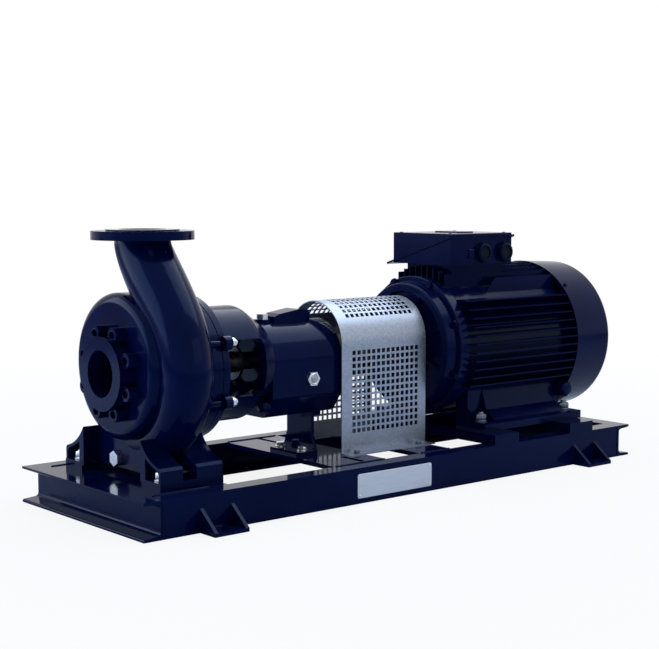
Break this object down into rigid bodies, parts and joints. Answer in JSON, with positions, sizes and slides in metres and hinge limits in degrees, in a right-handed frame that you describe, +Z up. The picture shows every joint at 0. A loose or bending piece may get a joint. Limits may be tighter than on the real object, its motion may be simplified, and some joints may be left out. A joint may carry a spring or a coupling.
{
  "type": "end suction pump set",
  "caption": "Horizontal wastewater pump with volute casing, bearing bracket, perforated coupling guard and finned electric motor on a welded channel base frame.",
  "frame": {"origin": "centre of the base frame's footprint, on the floor", "axes": "+X along the shaft from the suction flange to the motor fan, +Z up, +Y across to the back side"},
  "size_m": [1.49, 0.6, 0.606],
  "materials": {
    "frame_paint": "gloss dark navy",
    "pump_paint": "gloss dark navy over casting",
    "motor_paint": "gloss dark navy",
    "zinc_steel": "zinc plated",
    "shaft_steel": "ground",
    "cast_iron": "rough cast",
    "coupling_rubber": "matt",
    "guard_sheet": "brushed",
    "black_plastic": "satin"
  },
  "bodies": {
    "pump_set": {"bearing_bracket": "pump_paint", "bearing_cover_coupling_end": "pump_paint", "bearing_cover_pump_end": "pump_paint", "bearing_housing": "pump_paint", "bearing_support_foot": "frame_paint", "bearing_support_plate": "frame_paint", "cable_gland_a": "black_plastic", "cable_gland_b": "black_plastic", "casing_cover": "pump_paint", "casing_cross_member": "frame_paint", "casing_plate": "frame_paint", "coupling_guard": "guard_sheet", "drain_plug": "zinc_steel", "drive_end_shield": "motor_paint", "fan_cowl": "motor_paint", "fan_end_shield": "motor_paint", "foot_bracket_motor_back": "frame_paint", "foot_bracket_motor_front": "frame_paint", "foot_bracket_pump_back": "frame_paint", "foot_bracket_pump_front": "frame_paint", "frame_end_motor": "frame_paint", "frame_end_pump": "frame_paint", "frame_rail_back": "frame_paint", "frame_rail_front": "frame_paint", "guard_plate": "frame_paint", "lifting_eye": "motor_paint", "motor_bar_drive_end": "frame_paint", "motor_bar_fan_end": "frame_paint", "motor_body": "motor_paint", "motor_foot_back": "motor_paint", "motor_foot_front": "motor_paint", "oil_filler_plug": "zinc_steel", "oil_sight_plug": "zinc_steel", "terminal_box": "motor_paint", "terminal_box_lid": "motor_paint", "volute_casing": "pump_paint"},
    "rotor": {"impeller": "cast_iron", "pump_shaft": "shaft_steel", "coupling_hub_pump": "cast_iron", "coupling_element": "coupling_rubber", "coupling_hub_motor": "cast_iron", "motor_shaft": "shaft_steel", "cooling_fan": "black_plastic"}
  },
  "joints": [
    {"name": "shaft_spin", "type": "hinge", "parent": "pump_set", "child": "rotor", "pos_m": [0, 0, 0.305], "axis": [1, 0, 0], "continuous": true}
  ]
}
